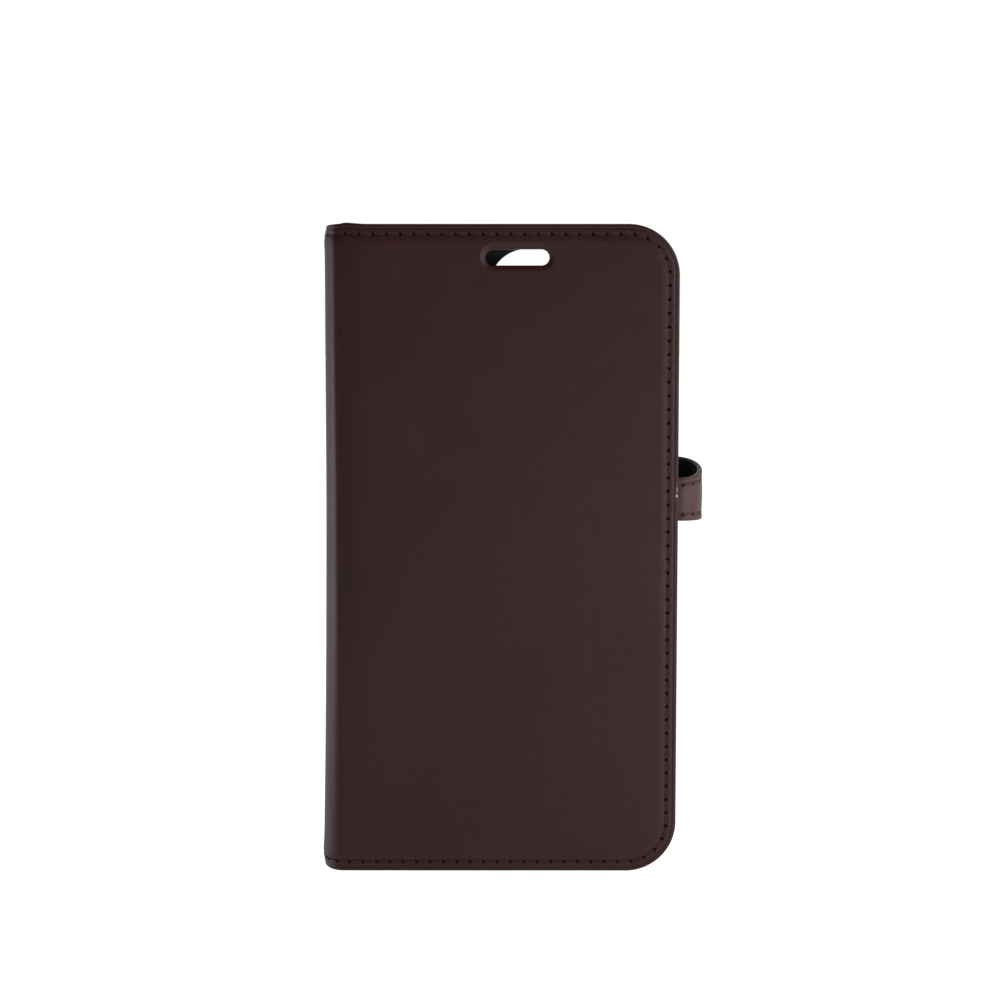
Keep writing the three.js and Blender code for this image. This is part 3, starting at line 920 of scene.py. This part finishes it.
def strap_cut(pattern, wrap):
    """The width, length and area of half of the strap, cut wider towards the back."""
    width, places = pattern.right - pattern.left, np.linspace(pattern.left, pattern.right, 41)
    low, high = (wrap(places, np.full_like(places, v), 0 * places)[:, 2]
                 for v in (pattern.low, pattern.high))
    tall = high - low
    return width, tall.max(), width * tall.mean() - 2 * corner_cut(pattern.corner)


def strap_half(name, side, on, length, corner, a, b, *nodes):
    """Half of the strap, with its lining and stitches, lying across the joint between two bodies;
    the pieces are baked in place.
    """
    pattern = Pattern(0, length, 0, STRAP_WIDTH, corner, STRAP_INSET, 3.3, NEAR_HOLE)
    wrap = strap_wrap(side)

    def outer(u, v):
        away = pattern.edge_distance(u, v)
        raised = 0.1 * bell(away - 0.7, 0.4) + 0.12 * bell(away - STRAP_WIDTH / 2, 3.0)
        groove = 0.16 * bell(away - STRAP_INSET, 0.4)
        pits = needle_pits(pattern, u, v, 0.35, pucker=0.06)
        return (STRAP_DOWN - raised + groove + edge_roll(away, 0.3) + pits
                + ripple(u, v, 7, 0.05))

    def inner(u, v):
        return STRAP_LEATHER + 0 * u

    rows = [2.6, 2.2, 1.95, 1.75, 1.6, 1.45, 1.25, 1.0, 0.7, 0.45, 0.28, 0.15, 0.06, 0.0]
    under = [2.6, 1.6, 0.0]
    field = {"strip_to": length - corner - 1.5, "spacing": 1.5, "rise": 0.9}
    # Painted shade darkens the strap's leather in its needle holes
    leather = sheet("strap_" + name, pattern, outer, inner, wrap,
                    [STRAP_BROWN, STRAP_BROWN, RAW_EDGE], rows, under, "folded", [on],
                    shade=lambda u, v: needle_pits(pattern, u, v, 1),
                    cut=strap_cut(pattern, wrap), **field)
    nap = Pattern(0, length - NAP_EDGE, NAP_EDGE, STRAP_WIDTH - NAP_EDGE, corner, STRAP_INSET,
                  1.0)
    lining = sheet("strap_lining_" + name, nap,
                   lambda u, v: STRAP_LINING[0] - 0.08 * bell(nap.edge_distance(u, v), 1.0),
                   lambda u, v: STRAP_LINING[1] - 0.12 * bell(nap.edge_distance(u, v), 1.0),
                   wrap, [NAP, NAP, PAINT], under, under, "folded", [leather],
                   cut=strap_cut(nap, wrap), **field)

    def seat(u, v):
        away = pattern.edge_distance(u, v)
        return STRAP_DOWN + 0.16 * bell(away - STRAP_INSET, 0.4) + 0 * u

    thread = stitching("stitches_strap_" + name, pattern, seat, wrap, STRAP_THREAD, 0.2, dip=0.35,
                       slant=0.25)
    under_thread = stitching("stitches_strap_under_" + name, pattern,
                             lambda u, v: STRAP_LINING[1] - 0.06 + 0 * u, wrap, BLACK_THREAD,
                             0.2, face=-1, dip=0.3, slant=0.2)
    for piece, cad in zip((leather, lining, thread, under_thread), nodes):
        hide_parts(*cad)
    angle = math.atan2(BEND_HALF, BEND_OUT)
    turn = np.interp(angle, BEND_ANGLES, BEND_ARC)
    ends = [wrap(np.array([turn + step]), np.array([STRAP_WIDTH / 2]), np.array([0.4]))[0] * MM
            for step in (STRAP_BLEND, -STRAP_BLEND)]
    for piece in (leather, lining, thread, under_thread):
        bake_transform(piece)


strap_half("front", -1, front_lining, BEND_LONG + BEND_X - STRAP_TONGUE, 3.5, "front_cover",
           "strap_side", ["strap_root", "strap_side_leather"], ["strap_side_lining"],
           ["strap_side_thread_bottom", "strap_side_thread_top"])
strap_half("back", 1, back_skin, BEND_LONG + BEND_X - STRAP_END, 4.5, "strap_side", "strap_tab",
           ["strap_tab_leather"], ["strap_tab_lining"], ["strap_tab_thread"])

# ---- moulded tray ------------------------------


def moulding(name, outline, profile, place, material, step=1.0, window=None, spacing=14.0):
    """A closed solid from loops round a rounded outline, each at an (inset, height).

    place turns a flat point and a height into a point of the case. The first and last loops
    are filled, round the window if there is one.
    """
    points, polygons = [], []
    rings = []
    for inset, height in profile:
        loop = rounded_loop(*outline, -inset, step)
        rings.append(range(len(points), len(points) + len(loop)))
        points += [place(a, b, height) for a, b in loop]
    for one, two in zip(rings, rings[1:]):
        polygons += quads(one, two, closed=True)
    rims = []
    for inset, height in (profile[0], profile[-1]):
        flat = Flat()
        loop = [flat.add(*p) for p in rounded_loop(*outline, -inset, step)]
        rim = [flat.add(*p) for p in window.loop(0)] if window else []
        flat.fill(loop, rim, spacing)
        rims.append([len(points) + i for i in rim])
        polygons += [tuple(len(points) + i for i in p) for p in flat.polygons]
        points += [place(a, b, height) for a, b in flat.points]
    polygons += quads(*rims, closed=True)
    piece = make_mesh(name, points, polygons, [material], sharp=40)
    outward(piece)
    return piece


def cut_out(piece, tools):
    """Cuts rounded windows through a piece and removes the tools."""
    for tool in tools:
        step = piece.modifiers.new("cut", "BOOLEAN")
        step.object = tool
        step.solver = "EXACT"
        fixed = bpy.data.meshes.new_from_object(
            piece.evaluated_get(bpy.context.evaluated_depsgraph_get()))
        piece.modifiers.clear()
        piece.data = fixed
        bpy.data.objects.remove(tool)
    fixed.shade_smooth()
    fixed.set_sharp_from_angle(angle=math.radians(35))


def along_x(y, z, x):
    return x, y, z


def along_y(x, z, y):
    return x, y, z


def along_z(x, y, z):
    return x, y, z


BUTTONS = {"volume_up_button": "volume_up", "volume_down_button": "volume_down",
           "side_button": "side_key"}
BUTTON_GAP = 0.25
# A pad's face, from its sides to its crowned middle: inset from the edge, and depth
PAD_FACE = ((0, 0.3), (0.06, 0.14), (0.22, 0.04), (0.5, 0), (1.0, 0.05), (1.5, 0.12))
TRAY_CORNER, WALL = 12.5, 1.2
LIP, LIP_DEPTH = 0.8, 0.55  # how far the lip holds over the phone, and its thickness
SOFT = 0.55  # radius of the tray's outer edges
BACK_RIM = 2.6  # inset of the innermost loops of the tray's back
# The port and the two grilles in the tray's foot: place from its middle, width and depth
FOOT_OPENINGS = ((0, 13, 5), (-19, 9, 3.2), (19, 9, 3.2))
MUTE_HALF, MUTE_Z, MUTE_CORNER = 2.5, (132, 140), 1.6  # the window of the mute switch


def opening(window, start, end, place):
    """A tool that cuts a rounded window through a wall of the tray."""
    return moulding("tool", window, [(0, start), (0, end)], place, TPU, 0.4, spacing=3)


def button(node, body):
    """Makes a crowned button pad, and gives the tool that cuts its window."""
    (near, far), (low, high) = span(node, Y), span(node, Z)
    outside, inner = span(node, X) if node != "side_button" else span(node, X)[::-1]
    way = 1 if outside < 0 else -1
    window = (near - BUTTON_GAP, far + BUTTON_GAP, low - BUTTON_GAP, high + BUTTON_GAP, 1.5)
    tool = opening(window, outside - way, inner + way, along_x)
    profile = [(0, inner)] + [(inset, outside + way * depth) for inset, depth in PAD_FACE]
    pad = moulding(node + "_pad", (near, far, low, high, 1.6), profile, along_x, TPU, 0.3,
                   spacing=1.5)
    stands_in(pad, "shell", body, node)
    return tool


def tray():
    """The moulded tray that holds the phone, with its openings and button pads."""
    (x0, x1), (y0, y1), (z0, z1) = (span("phone_shell", axis) for axis in (X, Y, Z))
    floor_y = y1 - WALL
    profile = [(BACK_RIM, floor_y), (WALL + 0.5, floor_y), (WALL + 0.15, floor_y - 0.15),
               (WALL, floor_y - 0.5), (WALL, y0 + LIP_DEPTH + 0.1),
               (WALL + LIP - 0.1, y0 + LIP_DEPTH), (WALL + LIP, y0 + LIP_DEPTH - 0.2),
               (WALL + LIP - 0.15, y0 + 0.08), (WALL + LIP - 0.4, y0)]
    turns = [math.radians(22.5 * k) for k in range(5)]
    profile += [(SOFT * (1 - math.sin(t)), y0 + SOFT * (1 - math.cos(t))) for t in turns]
    profile += [(SOFT * (1 - math.cos(t)), y1 - SOFT * (1 - math.sin(t))) for t in turns]
    profile.append((BACK_RIM, y1))
    piece = moulding("tray", (x0, x1, z0, z1, TRAY_CORNER), profile, along_y, TPU,
                     window=camera_window)
    across, middle = (x0 + x1) / 2, (y0 + y1) / 2
    tools = []
    for place, width, depth in FOOT_OPENINGS:
        x = across + place
        window = (x - width / 2, x + width / 2, middle - depth / 2, middle + depth / 2,
                  depth / 2 - 0.01)
        tools.append(opening(window, z0 - 1, z0 + WALL + 1, along_z))
    window = (middle - MUTE_HALF, middle + MUTE_HALF, *MUTE_Z, MUTE_CORNER)
    tools.append(opening(window, x0 - 1, x0 + WALL + 1, along_x))
    tools += [button(node, body) for node, body in BUTTONS.items()]
    cut_out(piece, tools)
    stands_in(piece, "shell", "back_cover", "phone_shell")


tray()

# ---- pockets -----------------------------------

FOLD_WIDE, FOLD_THICK = 3.6, 0.14  # a pocket's folded edge
SEAM_IN = 2.2  # from that edge to its stitches


def flat_wrap(u, v, depth):
    return np.column_stack([u, FRONT + depth, v])


def pocket(name, node, corner, hole=None):
    """A pocket panel: sewn down at its free edges, with a folded and stitched opening edge."""
    (left, right), (low, high) = span(node, X), span(node, Z)
    near, far = (y - FRONT for y in span(node, Y))
    pattern = Pattern(left, right, low, high, corner, corner * 0.5)

    def pull(u, v):
        if hole:
            return LINING_PULL * (1 - smooth(pattern.edge_distance(u, v) / 3.0))
        return 0 * u

    def outer(u, v):
        return near + pull(u, v)

    def inner(u, v):
        fold = FOLD_THICK * (1 - smooth((u - left - FOLD_WIDE) / 0.5))
        roll = edge_roll(np.clip(u - left, 0, 1), 0.25)
        seam = 0.1 * bell(u - left - SEAM_IN, 0.35)
        return far - FOLD_THICK + pull(u, v) + fold - roll - seam

    rows = [corner * 0.3, 0.3, 0.0]
    piece = sheet(name, pattern, outer, inner, flat_wrap, [POCKET, POCKET, PAINT], rows, rows,
                  "laid", [front_lining], strip_to=left + 5, hole=hole, rims=LINING_RIMS)
    stands_in(piece, "pocket", "front_cover", node)

    def seam_wrap(along, across, depth):
        return flat_wrap(left + SEAM_IN + across, along, far - 0.1 + depth)

    seam = Seam(low + 1.2, high - 1.2, 2.8)
    thread = stitching("stitches_" + node, seam, lambda u, v: 0 * u, seam_wrap, BLACK_THREAD,
                       thick=0.2, face=-1)
    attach(thread, "front_cover")


pocket("cash_pocket_panel", "cash_pocket", 12.0, slot)
for step in ("inner", "middle", "outer"):
    pocket("card_panel_" + step, "card_pocket_" + step, 1.5)

# ---- floor, light and camera -------------------

WHITE = (1, 1, 1, 1)


def floor():
    """A white floor that lights the case from below, as studio paper does."""
    mesh = bpy.data.meshes.new("floor")
    side = 12.0
    mesh.from_pydata([(-side, -side, 0), (side, -side, 0), (side, side, 0), (-side, side, 0)], [],
                     [(0, 1, 2, 3)])
    piece = bpy.data.objects.new("floor", mesh)
    bpy.context.scene.collection.objects.link(piece)
    n = new_material("floor")
    seen = n.node("ShaderNodeLightPath").outputs["Is Camera Ray"]
    mesh.materials.append(n.set(
        Base_Color=(0.5, 0.5, 0.5, 1), Roughness=0.8, Specular_IOR_Level=0.0,
        Emission_Color=WHITE, Emission_Strength=n.span(seen, 0, 1, 0.6, 1.0)))


def softbox(name, spot, target, size, power):
    light = bpy.data.lights.new(name, "AREA")
    light.shape = "RECTANGLE"
    light.size, light.size_y = size
    light.energy = power
    lamp = bpy.data.objects.new(name, light)
    lamp.location = spot
    way = Vector(target) - Vector(spot)
    lamp.rotation_mode = "QUATERNION"
    lamp.rotation_quaternion = way.to_track_quat("-Z", "Y")
    bpy.context.scene.collection.objects.link(lamp)


def studio():
    """A white surround that the camera sees, which lights the case far less from the front."""
    world = bpy.data.worlds.new("studio")
    bpy.context.scene.world = world
    n = Nodes(world)
    axes = n.node("ShaderNodeSeparateXYZ", {"Vector": n.around}).outputs
    level = n.span(axes["Y"], -0.4, 0.5, 0.04, 0.65)
    lighting = n.node("ShaderNodeBackground", {"Color": WHITE, "Strength": level}).outputs[0]
    seen = n.node("ShaderNodeBackground", {"Color": WHITE}).outputs[0]
    share = n.node("ShaderNodeLightPath").outputs["Is Camera Ray"]
    both = n.node("ShaderNodeMixShader", {0: share, 1: lighting, 2: seen}).outputs[0]
    output = next(node for node in n.tree.nodes if node.type == "OUTPUT_WORLD")
    n.give(output.inputs["Surface"], both)
    middle = (0, 0, 0.09)
    softbox("left", (-0.8, 0.05, 0.05), middle, (0.5, 0.08), 2.0)
    softbox("right", (0.8, -0.1, 0.25), middle, (0.5, 0.6), 1.9)
    softbox("key", (0.62, -0.5, 0.45), middle, (0.22, 0.22), 2.1)
    softbox("low", (0.3, -0.35, 0.04), (0.03, 0, 0.04), (0.3, 0.06), 0.7)
    softbox("top", (0, -0.1, 1.3), middle, (1.6, 1.6), 0.8)
    bpy.context.scene.view_settings.view_transform = "Standard"


def camera():
    lens = bpy.data.cameras.new("camera")
    lens.lens = 68.17
    lens.sensor_width = 36.0
    lens.clip_end = 20
    seat = bpy.data.objects.new("camera", lens)
    seat.location = (-0.0031, -0.4916, 0.1390)
    seat.rotation_euler = (math.radians(85.02), 0, math.radians(0.05))
    bpy.context.scene.collection.objects.link(seat)
    bpy.context.scene.camera = seat


# ---- boards and metal from the CAD model -------

KEPT = {
    "front_board": BOARD, "back_board": BOARD, "shell_pad": BOND,
    "catch_plate": STEEL, "strap_magnet": STEEL,
}
for node, material in KEPT.items():
    part = frame["nodes"][node]
    part.data.materials.clear()
    part.data.materials.append(material)

floor()
studio()
camera()
